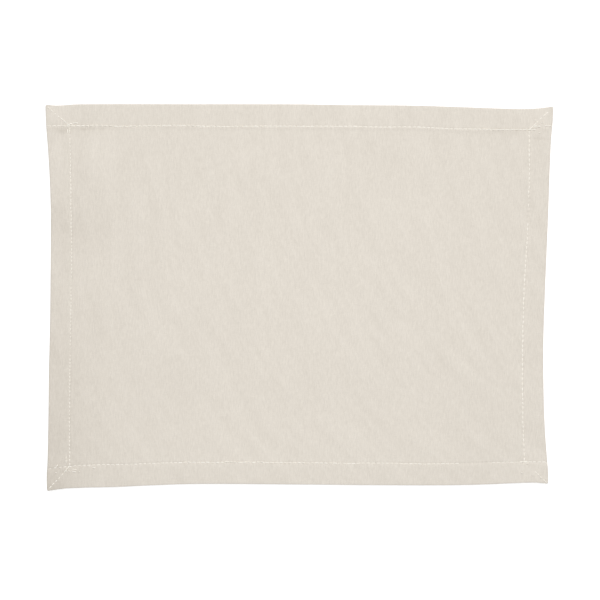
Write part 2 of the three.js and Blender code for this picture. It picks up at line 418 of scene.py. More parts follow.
@dataclass(frozen=True)
class SewingPlan:
    """All the stitches that hold the hem, seen from above.

    Attributes:
        plan: The lines that the rows follow.
        pitches: The usual stitch on each side's row, in the order of Side.
        slacks: How far each side's row stands out of its needle holes, along it.
        mitre_slacks: How far each mitre's stitches do, from the tip of the corner on.
        mitre_pitch: The usual stitch on a mitre.
        mitre_start: How far from the tip of the corner a mitre's stitches start.
        edge_gap: How far the long rows stop from the outer fold.
        early_stop: How far from it the top row stops on the right, where it was sewn on further out.
    """

    plan: MatPlan
    pitches: tuple[float, float, float, float] = (3.4, 4.2, 4.15, 4.25)
    slacks: tuple[SmoothLine, ...] = (
        SmoothLine((
            (-152.0, -0.06), (-137.0, -0.08), (-106.0, -0.18), (-75.0, -0.12), (-45.0, -0.25),
            (-14.0, -0.18), (16.0, -0.24), (47.0, -0.12), (78.0, -0.18), (108.0, -0.09), (140.0, -0.26),
            (155.0, -0.26),
        )),
        SmoothLine((
            (-148.0, -0.12), (-104.0, -0.15), (-74.0, 0.05), (-44.0, -0.16), (-14.0, -0.09), (16.0, -0.12),
            (46.0, -0.15), (76.0, -0.3), (106.0, -0.19), (136.0, 0.0), (150.0, 0.0),
        )),
        SmoothLine((
            (-225.0, -0.18), (-158.0, -0.14), (-113.0, 0.0), (-68.0, 0.32), (-23.0, 0.24), (21.0, 0.24),
            (66.0, -0.06), (111.0, 0.14), (156.0, -0.3), (201.0, -0.02), (224.0, -0.02),
        )),
        SmoothLine((
            (-228.0, 0.2), (-206.0, 0.24), (-163.0, 0.48), (-120.0, 0.24), (-76.0, 0.42), (-33.0, 0.24),
            (10.0, 0.12), (54.0, 0.04), (97.0, -0.04), (140.0, 0.08), (184.0, 0.5), (228.0, 0.5),
        )),
    )
    mitre_slacks: tuple[SmoothLine, ...] = (
        SmoothLine(((0.0, -0.3), (5.0, 0.2), (12.0, 0.0), (18.0, -0.3), (28.0, 0.1))),
        SmoothLine(((0.0, 0.35), (14.0, 0.2), (17.0, -0.6), (28.0, -0.6))),
        SmoothLine(((0.0, 0.3), (9.0, 0.2), (11.0, -0.46), (16.0, -0.46), (18.0, 0.15), (28.0, 0.15))),
        SmoothLine((
            (0.0, -0.7), (8.0, -0.7), (9.8, 0.3), (13.6, 0.1), (14.8, -0.7), (17.6, -0.7), (19.2, 0.35),
            (28.0, 0.3),
        )),
    )
    mitre_pitch: float = 3.9
    mitre_start: float = 2.6
    edge_gap: float = 1.6
    early_stop: float = 15.8

    ROW_SEED = 11
    MITRE_SEED = 71
    SEED_STEP = 10

    # Needle holes outside the rows, run by run, where the sewing was started, fastened or turned.
    LOOSE = (
        ((-209.4, 154.4), (-204.0, 156.9), (-198.8, 156.8)),
        ((-207.2, 154.4), (-202.3, 154.5), (-197.4, 154.6)),
        ((-208.4, 151.6), (-208.6, 147.9)),
        ((-207.0, 151.2), (-206.9, 147.3)),
        ((209.8, 154.5), (213.3, 154.8), (216.8, 154.6)),
        ((210.2, 153.6), (213.6, 153.8), (217.0, 153.7)),
        ((220.4, 154.4), (223.9, 154.5), (226.9, 154.3)),
        ((211.0, 159.0), (212.8, 159.4)),
        ((217.0, 157.1), (219.4, 157.5)),
        ((214.9, 148.0), (216.7, 148.3)),
        ((-209.9, -143.0), (-209.9, -146.3), (-209.8, -149.6)),
        ((-209.8, -153.8), (-209.5, -156.8)),
        ((-219.3, -152.7), (-217.0, -150.2)),
        ((-216.6, -152.9), (-214.4, -152.9)),
        ((-219.7, -157.2), (-217.9, -157.6)),
        ((-204.4, -154.7), (-200.0, -154.8)),
        ((-207.9, -156.0), (-205.9, -156.4)),
        ((-204.4, -156.6), (-200.7, -156.7)),
        ((-199.2, -156.7), (-197.2, -156.5)),
        ((-186.2, -152.9), (-183.4, -153.5)),
        ((198.9, -147.9), (202.5, -147.4), (206.0, -147.8)),
        ((204.0, -149.2), (206.0, -149.5)),
        ((199.2, -157.3), (201.0, -157.9)),
        ((209.0, -159.6), (210.9, -160.4)),
    )

    @cached_property
    def rows(self) -> tuple[SewnRow, ...]:
        """The four rows and the four mitres."""
        plan, right, up, none = self.plan, (1.0, 0.0), (0.0, 1.0), (0.0, 0.0)
        corners = {ends: self._corner(*ends) for ends in ((0, 0), (3, 0), (0, 3), (3, 3))}
        crossings = {ends: self._corner(*ends) for ends in ((1, 1), (2, 1), (1, 2), (2, 2))}
        gap = self.edge_gap
        spans = (
            (crossings[1, 1][1], crossings[1, 2][1]),
            (crossings[2, 1][1], crossings[2, 2][1]),
            (corners[0, 0][0] + gap, corners[3, 0][0] - gap),
            (corners[0, 3][0] + gap, corners[3, 3][0] - self.early_stop),
        )
        lines = (plan.left_row, plan.right_row, plan.bottom_row, plan.top_row)
        rows = []
        for side, line, (start, end) in zip(Side, lines, spans):
            upright = side in (Side.LEFT, Side.RIGHT)
            way, across = (up, right) if upright else (right, up)
            pitch, slack = self.pitches[side.value], self.slacks[side.value]
            seed = self.ROW_SEED + self.SEED_STEP * side.value
            rows.append(SewnRow(side.name.lower(), none, way, across, line, start, end, pitch, seed, slack))
        for number, (tip, crossing) in enumerate(zip(corners.values(), crossings.values())):
            rows.append(self._mitre(number, tip, crossing))
        return tuple(rows)

    def _corner(self, across: float, up: float) -> Point:
        """Gives the point at a pair of stations."""
        x, y = self.plan.lay(np.array([float(across)]), np.array([float(up)]))
        return float(x[0]), float(y[0])

    def _mitre(self, number: int, tip: Point, crossing: Point) -> SewnRow:
        """Makes the row that runs from near the tip of a corner to where its two rows cross."""
        way = np.subtract(crossing, tip)
        length = float(np.hypot(*way))
        heading = (float(way[0] / length), float(way[1] / length))
        lateral = (-heading[1], heading[0])
        return SewnRow(
            f"mitre_{number}", tip, heading, lateral, level(0.0), self.mitre_start, length,
            self.mitre_pitch, seed=self.MITRE_SEED + self.SEED_STEP * number,
            slack=self.mitre_slacks[number], on_mitre=True,
        )


class Heights(NamedTuple):
    """The heights of the face and of the underside at points."""

    face: np.ndarray
    underside: np.ndarray


class Swell(NamedTuple):
    """A low, broad hump where the cloth stands off the table."""

    x: float
    y: float
    along_x: float
    along_y: float
    rise: float


class Crease(NamedTuple):
    """A short soft trough in the hem, where the layers under it end or were pressed."""

    x: float
    y: float
    to_x: float
    to_y: float
    width: float
    depth: float


@dataclass(frozen=True)
class ClothRelief:
    """How high the cloth lies, from its layers, its sewing and its unevenness.

    Attributes:
        plan: Where its outer folds and rows run.
        sewing: The stitches that pull it down.
        cloth: One layer of canvas.
        hem: The face and the hem turned under twice.
        fold_reaches: How far in the outer fold of each side is round, in the order of Side.
        tip_radius: How round the tips of the corners are, seen from above.
        fold_in: How far past a row the inner fold of the hem is, on the underside.
        quick_falls: The share of the hem's lift that the cloth loses close to each row, along it, in the
            order of Side.
        quick_start: How far past a row it starts to be lost.
        quick_end: How far past a row it has been lost.
        slow_start: How far past each row the rest of the lift starts to be lost.
        slow_end: How far past each row the single layer has come down to the table.
        mitre_bulk: What the layers of two hems add in the middle of a corner.
        mitre_dent: How deep the stitches of a mitre pull the face down.
        mitre_reach: How far beside a mitre they do.
        row_dent: How deep the stitches of a row pull the face down.
        row_reach: How far beside a row they do.
        hole_share: Half the share of a dent that is gone midway between two needle holes.
        swell_start: How far past a row the swells of the middle have their full height.
        pillow: How far the hem usually rounds up between its outer fold and its row.
        ripple: How far the cloth beside a row rises between the needle holes and falls at them.
        ripple_reach: How far beside a row it does.
        seam_gap: How deep the seam of a mitre lies in the underside.
        bobbin_groove: How deep a row lies in the underside.
        bobbin_reach: How far beside a row it does.
    """

    plan: MatPlan
    sewing: SewingPlan
    cloth: float = 1.1
    hem: float = 2.4
    fold_reaches: tuple[float, float, float, float] = (1.3, 1.3, 0.55, 1.3)
    tip_radius: float = 1.5
    fold_in: float = 2.1
    quick_falls: tuple[SmoothLine, ...] = (
        level(0.12),
        level(0.06),
        level(0.08),
        SmoothLine((
            (-228.0, 0.6), (-190.0, 0.62), (-174.0, 0.5), (-158.0, 0.2), (-142.0, 0.2), (-122.0, 0.42),
            (100.0, 0.46), (150.0, 0.5), (172.0, 0.56), (228.0, 0.56),
        )),
    )
    quick_start: float = 0.6
    quick_end: float = 4.0
    slow_start: tuple[float, float, float, float] = (2.1, 2.1, 2.1, 34.0)
    slow_end: tuple[float, float, float, float] = (60.0, 60.0, 60.0, 130.0)
    mitre_bulk: float = 0.5
    mitre_dent: float = 0.42
    mitre_reach: float = 1.1
    row_dent: float = 0.6
    row_reach: float = 0.85
    hole_share: float = 0.5
    swell_start: float = 14.0
    pillow: float = 0.09
    ripple: float = 0.09
    ripple_reach: float = 3.4
    seam_gap: float = 0.45
    bobbin_groove: float = 0.85
    bobbin_reach: float = 0.85

    SWELLS = (
        Swell(-180.0, 106.0, 38.0, 58.0, 1.5),
        Swell(-48.0, 112.0, 60.0, 38.0, 0.5),
        Swell(148.0, -60.0, 70.0, 62.0, 0.5),
    )
    CREASES = (
        Crease(-201.0, 146.0, -199.5, 104.0, 2.4, 0.3),
        Crease(-204.0, 152.2, -166.0, 151.9, 1.5, 0.3),
        Crease(165.0, 148.4, 203.0, 147.4, 2.4, 0.24),
        Crease(208.5, 143.2, 221.0, 142.8, 1.0, 0.42),
        Crease(-220.0, 151.2, -206.0, 151.2, 1.4, 0.34),
        Crease(-216.0, -160.0, -211.5, -157.5, 1.1, 0.32),
        Crease(-215.5, -163.4, -211.0, -161.0, 1.1, 0.28),
    )
    BROAD = Unevenness((46.0, 38.0), 3)
    MIDDLING = Unevenness((15.0, 19.0), 5)
    HEM_ROLL = Unevenness((8.5, 8.5), 8)
    BROAD_HEIGHT = 0.13
    MIDDLING_HEIGHT = 0.05
    UNEVEN_FROM = -6.0  # past a row, where the unevenness sets in
    UNEVEN_FULL = 10.0
    LEAST_ROLL = 0.4  # of the pillow
    ROLL_SPREAD = 1.2
    DENT_FADE = 2.0  # past the ends of a row
    GROOVE_FADE = 1.0
    SEAM_REACH = 0.55

    @property
    def lift(self) -> float:
        """How far the hem holds the single layer off the table."""
        return self.hem - self.cloth

    def at(self, x: np.ndarray, y: np.ndarray) -> Heights:
        """Gives the heights of the cloth at points inside the outline.

        Args:
            x: Their places along X.
            y: Their places along Y.

        Returns:
            The heights of the face and of the underside, in millimetres above the table.
        """
        clear = self.plan.clearance(x, y)
        past = clear.rows.min(axis=0)
        shares = clear.hem_share
        fallen = self._fallen(clear.rows, x, y)
        lift = self.lift * (1 - fallen) + self._swell(x, y) * smoothstep(past, 0, self.swell_start)
        lift += self._unevenness(x, y) * smoothstep(past, self.UNEVEN_FROM, self.UNEVEN_FULL)
        dents = self._dents(x, y)
        uneven_roll = self.LEAST_ROLL + self.ROLL_SPREAD * self.HEM_ROLL.at(x, y)
        roll = self.pillow * uneven_roll * np.sin(np.pi * shares.min(axis=0))
        top = self.cloth + lift + self._corner_bulk(shares) + roll - dents - self._creases(x, y)

        under_field = np.maximum(lift, 0)
        under_hem = np.maximum(self._grooves(x, y), self._seams(clear)) + self._inner_fold(past)
        below = np.where(past < self.fold_in, under_hem, under_field)

        into_fold = (clear.edges / np.array(self.fold_reaches)[:, None]).min(axis=0)
        arc = np.sqrt(1 - (1 - np.clip(into_fold, 0, 1)) ** 2)
        middle = self.hem / 2
        return Heights(middle + (top - middle) * arc, middle + (below - middle) * arc)

    def _fallen(self, rows: np.ndarray, x: np.ndarray, y: np.ndarray) -> np.ndarray:
        """The share of the hem's lift that the single layer has lost at each point."""
        share = np.ones(rows.shape[1])
        falls = zip(self.quick_falls, self.slow_start, self.slow_end, rows, (y, y, x, x))
        for quick_line, start, end, past, along in falls:
            quick = quick_line.at(along)
            close = quick * smoothstep(past, self.quick_start, self.quick_end)
            share *= close + (1 - quick) * smoothstep(past, start, end)
        return share

    def _swell(self, x: np.ndarray, y: np.ndarray) -> np.ndarray:
        """How far the swells lift the cloth."""
        total = np.zeros(len(x))
        for swell in self.SWELLS:
            reach = np.hypot((x - swell.x) / swell.along_x, (y - swell.y) / swell.along_y)
            total += swell.rise * (1 - smoothstep(reach, 0, 1))
        return total

    def _unevenness(self, x: np.ndarray, y: np.ndarray) -> np.ndarray:
        """The slight waves of cloth that was pressed and laid down by hand."""
        return self.BROAD_HEIGHT * self.BROAD.at(x, y) + self.MIDDLING_HEIGHT * self.MIDDLING.at(x, y)

    def _corner_bulk(self, shares: np.ndarray) -> np.ndarray:
        """What the layers of two hems add where they meet in a corner."""
        across, up = shares[:2].min(axis=0), shares[2:].min(axis=0)
        return self.mitre_bulk * np.sin(np.pi * across) * np.sin(np.pi * up)

    def _dents(self, x: np.ndarray, y: np.ndarray) -> np.ndarray:
        """How deep the stitches pull the face down, with the ripples beside them."""
        total = np.zeros(len(x))
        for row in self.sewing.rows:
            depth, reach = self.row_dent, self.row_reach
            if row.on_mitre:
                depth, reach = self.mitre_dent, self.mitre_reach
            along, across = row.local(x, y)
            inside = row.inside(along, self.DENT_FADE)
            hole = np.cos(2 * np.pi * row.phase(along))
            dent = depth * (1 - self.hole_share + self.hole_share * hole) * bump(across, reach)
            ripple = self.ripple * hole * bump(across, self.ripple_reach)
            total = np.maximum(total, inside * dent) + inside * ripple
        return total

    def _creases(self, x: np.ndarray, y: np.ndarray) -> np.ndarray:
        """How deep the creases of the hem are."""
        total = np.zeros(len(x))
        for crease in self.CREASES:
            way = np.array([crease.to_x - crease.x, crease.to_y - crease.y])
            length = float(np.hypot(*way))
            right, up = x - crease.x, y - crease.y
            along = np.clip((right * way[0] + up * way[1]) / length**2, 0, 1)
            distance = np.hypot(right - along * way[0], up - along * way[1])
            total += crease.depth * bump(distance, crease.width)
        return total

    def _grooves(self, x: np.ndarray, y: np.ndarray) -> np.ndarray:
        """How deep the rows lie in the underside."""
        total = np.zeros(len(x))
        for row in self.sewing.rows:
            along, across = row.local(x, y)
            depth = self.bobbin_groove * row.inside(along, self.GROOVE_FADE)
            total = np.maximum(total, depth * bump(across, self.bobbin_reach))
        return total

    def _seams(self, clear: Clearance) -> np.ndarray:
        """How deep the seams of the mitres lie in the underside."""
        across, up = clear.hem_share[:2].min(axis=0), clear.hem_share[2:].min(axis=0)
        width = (clear.edges - clear.rows).min(axis=0)
        off_seam = np.abs(across - up) * width / math.sqrt(2)
        return self.seam_gap * bump(off_seam, self.SEAM_REACH) * (np.maximum(across, up) < 1)

    def _inner_fold(self, past: np.ndarray) -> np.ndarray:
        """How the inner fold of the hem rounds up from the table to the single layer."""
        radius = self.lift / 2
        into = np.clip((past - self.fold_in + radius) / radius, 0, 1)
        return radius * (1 - np.sqrt(1 - into**2))


class GridAxis(NamedTuple):
    """The grid's lines along one axis.

    Attributes:
        stations: The station of each line.
        first: The line where the panel of larger cells starts.
        last: The line where it ends.
    """

    stations: np.ndarray
    first: int
    last: int


@dataclass(frozen=True)
class HemmedCloth:
    """The canvas with its hem, as one closed piece of cloth.

    Attributes:
        plan: Where its outer folds and rows run.
        relief: How high it lies.
        name: The piece's name.
        fine: The length of a cell along the rows.
        hem_cell: The width of a cell in the plain part of the hem.
        merged: How many cells along a row one cell of the middle spans.
    """

    plan: MatPlan
    relief: ClothRelief
    name: str = "placemat_canvas"
    fine: float = 1.05
    hem_cell: float = 2.3
    merged: int = 4

    NOMINAL_HEM = 20.5
    # Lines across the hem, from its outer fold, from its row outwards, and from its row inwards.
    FROM_FOLD = (0.0, 0.05, 0.22, 0.5, 0.9, 1.5)
    BEFORE_ROW = (3.0, 1.9, 1.15, 0.55)
    PAST_ROW = (0.0, 0.55, 1.15, 1.5, 1.8, 2.02, 2.1, 2.4, 3.3, 4.6)
    TINY = 1e-9  # keeps a division away from 0

    def axis(self, middle: float) -> GridAxis:
        """Spaces the grid's lines along one axis.

        Args:
            middle: The distance between the two rows that cross this axis.

        Returns:
            The lines.
        """
        outer, inner = self.FROM_FOLD[-1], self.NOMINAL_HEM - self.BEFORE_ROW[0]
        cells = round((inner - outer) / self.hem_cell)
        plain = np.linspace(outer, inner, cells + 1)[1:-1]
        hem = np.concatenate([self.FROM_FOLD, plain, self.NOMINAL_HEM - np.array(self.BEFORE_ROW)])
        near = np.concatenate([hem / self.NOMINAL_HEM, 1 + np.array(self.PAST_ROW) / middle])
        large = round((middle - 2 * self.PAST_ROW[-1]) / (self.fine * self.merged))
        panel = np.linspace(near[-1], LAST_STATION - near[-1], large * self.merged + 1)
        stations = np.concatenate([near, panel[1:-1], LAST_STATION - near[::-1]])
        return GridAxis(stations, len(near) - 1, len(near) - 1 + large * self.merged)

    def build(self) -> bpy.types.Object:
        """Makes the cloth's mesh and its map of the weave.

        Returns:
            The cloth's object, at the origin.
        """
        columns, rows = (self.axis(length) for length in self.plan.size)
        numbers, across, up = self._used_points(columns, rows)
        x, y = self.plan.lay(across, up)
        heights = self.relief.at(x, y)
        x, y = self._round_tips(x, y)

        on_rim = (across == 0) | (across == LAST_STATION) | (up == 0) | (up == LAST_STATION)
        below = np.full(len(x), -1)
        below[~on_rim] = len(x) + np.arange(np.count_nonzero(~on_rim))
        below[on_rim] = np.flatnonzero(on_rim)
        top = np.stack([x, y, heights.face], axis=1)
        bottom = np.stack([x, y, heights.underside], axis=1)[~on_rim]

        face = self._cells(columns, rows, numbers)
        underside = [[int(below[corner]) for corner in reversed(cell)] for cell in face]
        mesh = bpy.data.meshes.new(self.name)
        mesh.from_pydata((np.concatenate([top, bottom]) * MM).tolist(), [], face + underside)
        mesh.shade_smooth()
        WeaveMap(self.plan, self.relief).add_to(mesh, len(face))
        # painted shade and painted light, kept on the cloth's points
        PaintedShadeMap.add_to(mesh)
        mesh.validate()
        return place_in_scene(self.name, mesh)

    def _used_points(self, columns: GridAxis, rows: GridAxis) -> tuple[np.ndarray, np.ndarray, np.ndarray]:
        """Numbers the grid's points, without those that the larger cells of the middle skip.

        Args:
            columns: The lines that cross X.
            rows: The lines that cross Y.

        Returns:
            The number of each crossing by row and column, and the stations of each point along X and Y.
        """

        def state(axis: GridAxis) -> tuple[np.ndarray, np.ndarray]:
            """Says which lines lie outside the panel and which the larger cells keep."""
            line = np.arange(len(axis.stations))
            return (line <= axis.first) | (line >= axis.last), (line - axis.first) % self.merged == 0

        (outside_x, kept_x), (outside_y, kept_y) = state(columns), state(rows)
        used = outside_y[:, None] | outside_x[None, :] | (kept_y[:, None] & kept_x[None, :])
        numbers = np.full(used.shape, -1)
        numbers[used] = np.arange(np.count_nonzero(used))
        up_line, across_line = np.nonzero(used)
        return numbers, columns.stations[across_line], rows.stations[up_line]

    def _cells(self, columns: GridAxis, rows: GridAxis, numbers: np.ndarray) -> list[list[int]]:
        """Lists the corners of each cell of the face, against the clock as seen from above."""
        cells = []
        for j in range(len(rows.stations) - 1):
            for i in range(len(columns.stations) - 1):
                if not (columns.first <= i < columns.last and rows.first <= j < rows.last):
                    corners = (j, i), (j, i + 1), (j + 1, i + 1), (j + 1, i)
                    cells.append([int(numbers[corner]) for corner in corners])
        for j in range(rows.first, rows.last, self.merged):
            for i in range(columns.first, columns.last, self.merged):
                cells.append(self._large_cell(columns, rows, numbers, i, j))
        return cells

    def _large_cell(
        self, columns: GridAxis, rows: GridAxis, numbers: np.ndarray, i: int, j: int
    ) -> list[int]:
        """Lists the points round one larger cell, which takes every point on the panel's own edge."""
        right, top = i + self.merged, j + self.merged

        def step(on_edge: bool) -> int:
            """Goes point by point on the panel's edge and from corner to corner elsewhere."""
            return 1 if on_edge else self.merged

        walk = [(j, k) for k in range(i, right, step(j == rows.first))]
        walk += [(k, right) for k in range(j, top, step(right == columns.last))]
        walk += [(top, k) for k in range(right, i, -step(top == rows.last))]
        walk += [(k, i) for k in range(top, j, -step(i == columns.first))]
        return [int(numbers[point]) for point in walk]

    def _round_tips(self, x: np.ndarray, y: np.ndarray) -> tuple[np.ndarray, np.ndarray]:
        """Draws the points near the tips of the corners in onto arcs."""
        edges = self.plan.clearance(x, y).edges
        radius = self.relief.tip_radius
        side_x, side_y = edges[:2].argmin(axis=0), edges[2:].argmin(axis=0)
        out_x = np.clip(radius - edges[:2].min(axis=0), 0, None)
        out_y = np.clip(radius - edges[2:].min(axis=0), 0, None)
        both = (out_x > 0) & (out_y > 0)
        farthest, reach = np.maximum(out_x, out_y), np.hypot(out_x, out_y)
        drawn_in = np.where(both, 1 - farthest / np.maximum(reach, self.TINY), 0)
        towards_x, towards_y = np.where(side_x == 0, 1, -1), np.where(side_y == 0, 1, -1)
        return x + towards_x * out_x * drawn_in, y + towards_y * out_y * drawn_in


class PaintedShadeSpot(NamedTuple):
    """A soft place of painted shade that darkens the cloth, or of painted light that makes it paler where
    the depth is below 0.
    """

    x: float
    y: float
    along_x: float
    along_y: float
    depth: float


class PaintedShadeMap:
    """How much painted shade darkens the cloth, or painted light pales it, from place to place, kept as an
    attribute of its points.
    """

    NAME = "cloth_painted_shade"
    # Painted shade where the cloth lies in shade: the lower left, lines beside rows and creases, a corner
    # tip and the far flanks of swells. Below 0, painted light on lit places.
    SPOTS = (
        PaintedShadeSpot(-226.0, -150.0, 46.0, 130.0, 0.68),
        PaintedShadeSpot(-221.0, -162.0, 14.0, 11.0, 0.7),
        PaintedShadeSpot(-228.0, -60.0, 26.0, 90.0, 0.38),
        PaintedShadeSpot(-194.0, 60.0, 18.0, 22.0, 0.6),
        PaintedShadeSpot(-219.0, 72.0, 15.0, 20.0, 0.6),
        PaintedShadeSpot(-197.5, 106.0, 6.0, 30.0, 0.15),
        PaintedShadeSpot(-177.0, 138.0, 16.0, 18.0, -0.35),
        PaintedShadeSpot(-218.0, 133.0, 14.0, 16.0, -0.3),
        PaintedShadeSpot(-224.0, 165.0, 9.0, 11.0, -0.7),
        PaintedShadeSpot(-213.6, 150.2, 6.4, 2.9, 1.9),
        PaintedShadeSpot(-190.0, 151.5, 17.0, 1.6, 1.35),
        PaintedShadeSpot(-222.5, -171.5, 5.0, 3.0, 0.9),
        PaintedShadeSpot(190.0, 148.0, 24.0, 3.6, 0.5),
        PaintedShadeSpot(215.0, 162.5, 9.5, 11.0, -0.55),
        PaintedShadeSpot(215.3, 142.6, 6.5, 1.3, 1.1),
        PaintedShadeSpot(220.8, 150.2, 3.4, 1.7, 0.8),
        PaintedShadeSpot(201.5, -145.6, 4.0, 1.0, 0.7),
        PaintedShadeSpot(212.0, -155.0, 30.0, 20.0, -0.45),
        PaintedShadeSpot(206.0, -95.0, 22.0, 60.0, -0.08),
        PaintedShadeSpot(-20.0, -152.0, 190.0, 18.0, -0.16),
    )

    @classmethod
    def add_to(cls, mesh: bpy.types.Mesh) -> None:
        """Adds the attribute to the cloth's mesh.

        Args:
            mesh: The cloth's mesh.
        """
        x, y = points_of(mesh)
        shade = np.zeros(len(x))
        for spot in cls.SPOTS:
            reach = np.hypot((x - spot.x) / spot.along_x, (y - spot.y) / spot.along_y)
            shade += spot.depth * bump(reach, 1.0)
        mesh.attributes.new(cls.NAME, "FLOAT", "POINT").data.foreach_set("value", shade)


@dataclass(frozen=True)
class WeaveMap:
    """The cloth's own flat map, in metres, which carries the weave round the folds of the hem.

    Attributes:
        plan: Where the outer folds and rows run.
        relief: How high the cloth lies.
    """

    plan: MatPlan
    relief: ClothRelief

    NAME = "weave"
    FOLD_MARGIN = 0.1

    def add_to(self, mesh: bpy.types.Mesh, face_cells: int) -> None:
        """Adds the map to the mesh.

        Args:
            mesh: The cloth's mesh, whose first faces are those of its face.
            face_cells: How many of its faces are.
        """
        x, y = points_of(mesh)
        clear = self.plan.clearance(x, y)
        corner_points = np.empty(len(mesh.loops), int)
        mesh.loops.foreach_get("vertex_index", corner_points)
        totals = np.empty(len(mesh.polygons), int)
        mesh.polygons.foreach_get("loop_total", totals)
        cell = np.repeat(np.arange(len(totals)), totals)

        flat = np.stack([x, y], axis=1)[corner_points]
        edges = clear.edges[:, corner_points]
        over = self._round_the_fold(edges)
        on_face = cell < face_cells
        nearest = np.argmin(self._mean(clear.hem_share[:, corner_points], cell, len(totals)), axis=0)[cell]
        past = self._mean(clear.rows.min(axis=0)[None, corner_points], cell, len(totals))[0][cell]
        on_turned_hem = ~on_face & (past < self.relief.fold_in + self.FOLD_MARGIN)
        for side in Side:
            axis = 0 if side in (Side.LEFT, Side.RIGHT) else 1
            outwards = -1 if side in (Side.LEFT, Side.BOTTOM) else 1
            reach, fold = self.relief.fold_reaches[side.value], self._fold_lengths[side.value]
            from_edge = flat[:, axis] + outwards * edges[side.value]
            face_place = from_edge + outwards * (over[side.value] - reach)
            near = on_face & (edges[side.value] < reach)
            flat[near, axis] = face_place[near]
            under_place = 2 * fold - over[side.value] - reach
            turned = from_edge + outwards * under_place
            mine = on_turned_hem & (nearest == side.value)
            flat[mine, axis] = turned[mine]
        uv = mesh.uv_layers.new(name=self.NAME)
        uv.data.foreach_set("uv", (flat * MM).ravel())

    @cached_property
    def _fold_lengths(self) -> np.ndarray:
        """The length of cloth in the upper half of the outer fold of each side."""
        half = self.relief.hem / 2
        return math.pi / 2 * np.sqrt((np.array(self.relief.fold_reaches) ** 2 + half**2) / 2)

    def _round_the_fold(self, edges: np.ndarray) -> np.ndarray:
        """Measures the cloth from where the fold starts to be round out to each point."""
        reach = np.array(self.relief.fold_reaches)[:, None]
        angle = np.arccos(np.clip(1 - edges / reach, -1, 1))
        length = self._fold_lengths[:, None] * (1 - angle / (math.pi / 2))
        return np.where(edges < reach, length, reach - edges)

    @staticmethod
    def _mean(values: np.ndarray, cell: np.ndarray, count: int) -> np.ndarray:
        """Averages the values of each cell's corners."""
        corners = np.bincount(cell, minlength=count)
        return np.array([np.bincount(cell, weights=row, minlength=count) for row in values]) / corners


class Graph:
    """Adds nodes to one tree and links them."""

    COLUMNS = 12
    COLUMN_WIDTH = 200
    ROW_HEIGHT = 260

    def __init__(self, tree: bpy.types.NodeTree) -> None:
        """Starts with the tree as it is.

        Args:
            tree: A shader or geometry tree.
        """
        self.tree = tree

    def add(
        self, kind: str, inputs: dict[str | int, object] | None = None, **settings: object
    ) -> bpy.types.Node:
        """Adds one node.

        Args:
            kind: Blender's name of the node.
            inputs: What goes into its sockets, by name or number: another node's socket, or a value.
            settings: Its own properties.

        Returns:
            The node.
        """
        node = self.tree.nodes.new(kind)
        row, column = divmod(len(self.tree.nodes), self.COLUMNS)
        node.location = (column * self.COLUMN_WIDTH, -row * self.ROW_HEIGHT)
        for name, value in settings.items():
            setattr(node, name, value)
        self.feed(node, inputs or {})
        return node

    def feed(self, node: bpy.types.Node, inputs: dict[str | int, object]) -> None:
        """Fills a node's sockets.

        Args:
            node: The node.
            inputs: What goes into them, by name or number: another node's socket, or a value.
        """
        for name, value in inputs.items():
            if isinstance(value, Socket):
                self.tree.links.new(value, node.inputs[name])
            else:
                node.inputs[name].default_value = value

    def calc(self, operation: str, *values: Socket | float) -> Socket:
        """Adds a Math node and gives its result."""
        return self.add("ShaderNodeMath", dict(enumerate(values)), operation=operation).outputs[0]

    def vector(self, operation: str, *values: Socket | tuple[float, float, float]) -> Socket:
        """Adds a Vector Math node and gives the vector that comes out."""
        return self.add("ShaderNodeVectorMath", dict(enumerate(values)), operation=operation).outputs[0]

    def scaled(self, vector: Socket, factor: Socket | float) -> Socket:
        """Makes a vector as many times as long as the factor says."""
        return self.add("ShaderNodeVectorMath", {0: vector, "Scale": factor}, operation="SCALE").outputs[0]

    def combine(self, *parts: Socket | float) -> Socket:
        """Makes a vector of its X, Y and Z. Those that aren't given are 0."""
        return self.add("ShaderNodeCombineXYZ", dict(enumerate(parts))).outputs[0]

    def parts(self, vector: Socket) -> bpy.types.NodeOutputs:
        """Gives the X, Y and Z of a vector."""
        return self.add("ShaderNodeSeparateXYZ", {0: vector}).outputs

    def noise(self, vector: Socket, scale: Socket | float, detail: float) -> bpy.types.NodeOutputs:
        """Adds a Noise Texture node and gives its outputs."""
        return self.add("ShaderNodeTexNoise", {"Vector": vector, "Scale": scale, "Detail": detail}).outputs

    def blend(self, share: Socket | float, first: Socket | Colour, second: Socket | Colour) -> Socket:
        """Mixes two colours, the second by its share, which may pass 0 and 1."""
        sockets = {0: share, 6: self._opaque(first), 7: self._opaque(second)}
        return self.add("ShaderNodeMix", sockets, data_type="RGBA", clamp_factor=False).outputs[2]

    def mix(self, share: Socket | float, first: Socket, second: Socket) -> Socket:
        """Mixes two numbers, the second by its share."""
        return self.add("ShaderNodeMix", {0: share, 2: first, 3: second}).outputs[0]

    def spread(
        self, value: Socket, low: float, high: float, to_low: float = 0.0, to_high: float = 1.0
    ) -> Socket:
        """Maps a range of values onto another, clamped."""
        sockets = {0: value, 1: low, 2: high, 3: to_low, 4: to_high}
        return self.add("ShaderNodeMapRange", sockets).outputs[0]

    @staticmethod
    def _opaque(colour: Socket | Colour) -> Socket | tuple[float, float, float, float]:
        """Gives a plain colour its alpha."""
        return colour if isinstance(colour, Socket) else (*colour, 1.0)


def shader_group(name: str, inputs: dict[str, tuple[str, float | None]], outputs: Sequence[str]) -> Graph:
    """Starts a shader node group.

    Args:
        name: The group's name.
        inputs: The kind of each input socket, and its value or None for a vector.
        outputs: The names of its outputs, which are all plain numbers.

    Returns:
        The graph of its tree, without nodes.
    """
    tree = bpy.data.node_groups.new(name, "ShaderNodeTree")
    for label, (kind, value) in inputs.items():
        socket = tree.interface.new_socket(name=label, in_out="INPUT", socket_type=kind)
        if value is not None:
            socket.default_value = value
    for label in outputs:
        tree.interface.new_socket(name=label, in_out="OUTPUT", socket_type="NodeSocketFloat")
    return Graph(tree)


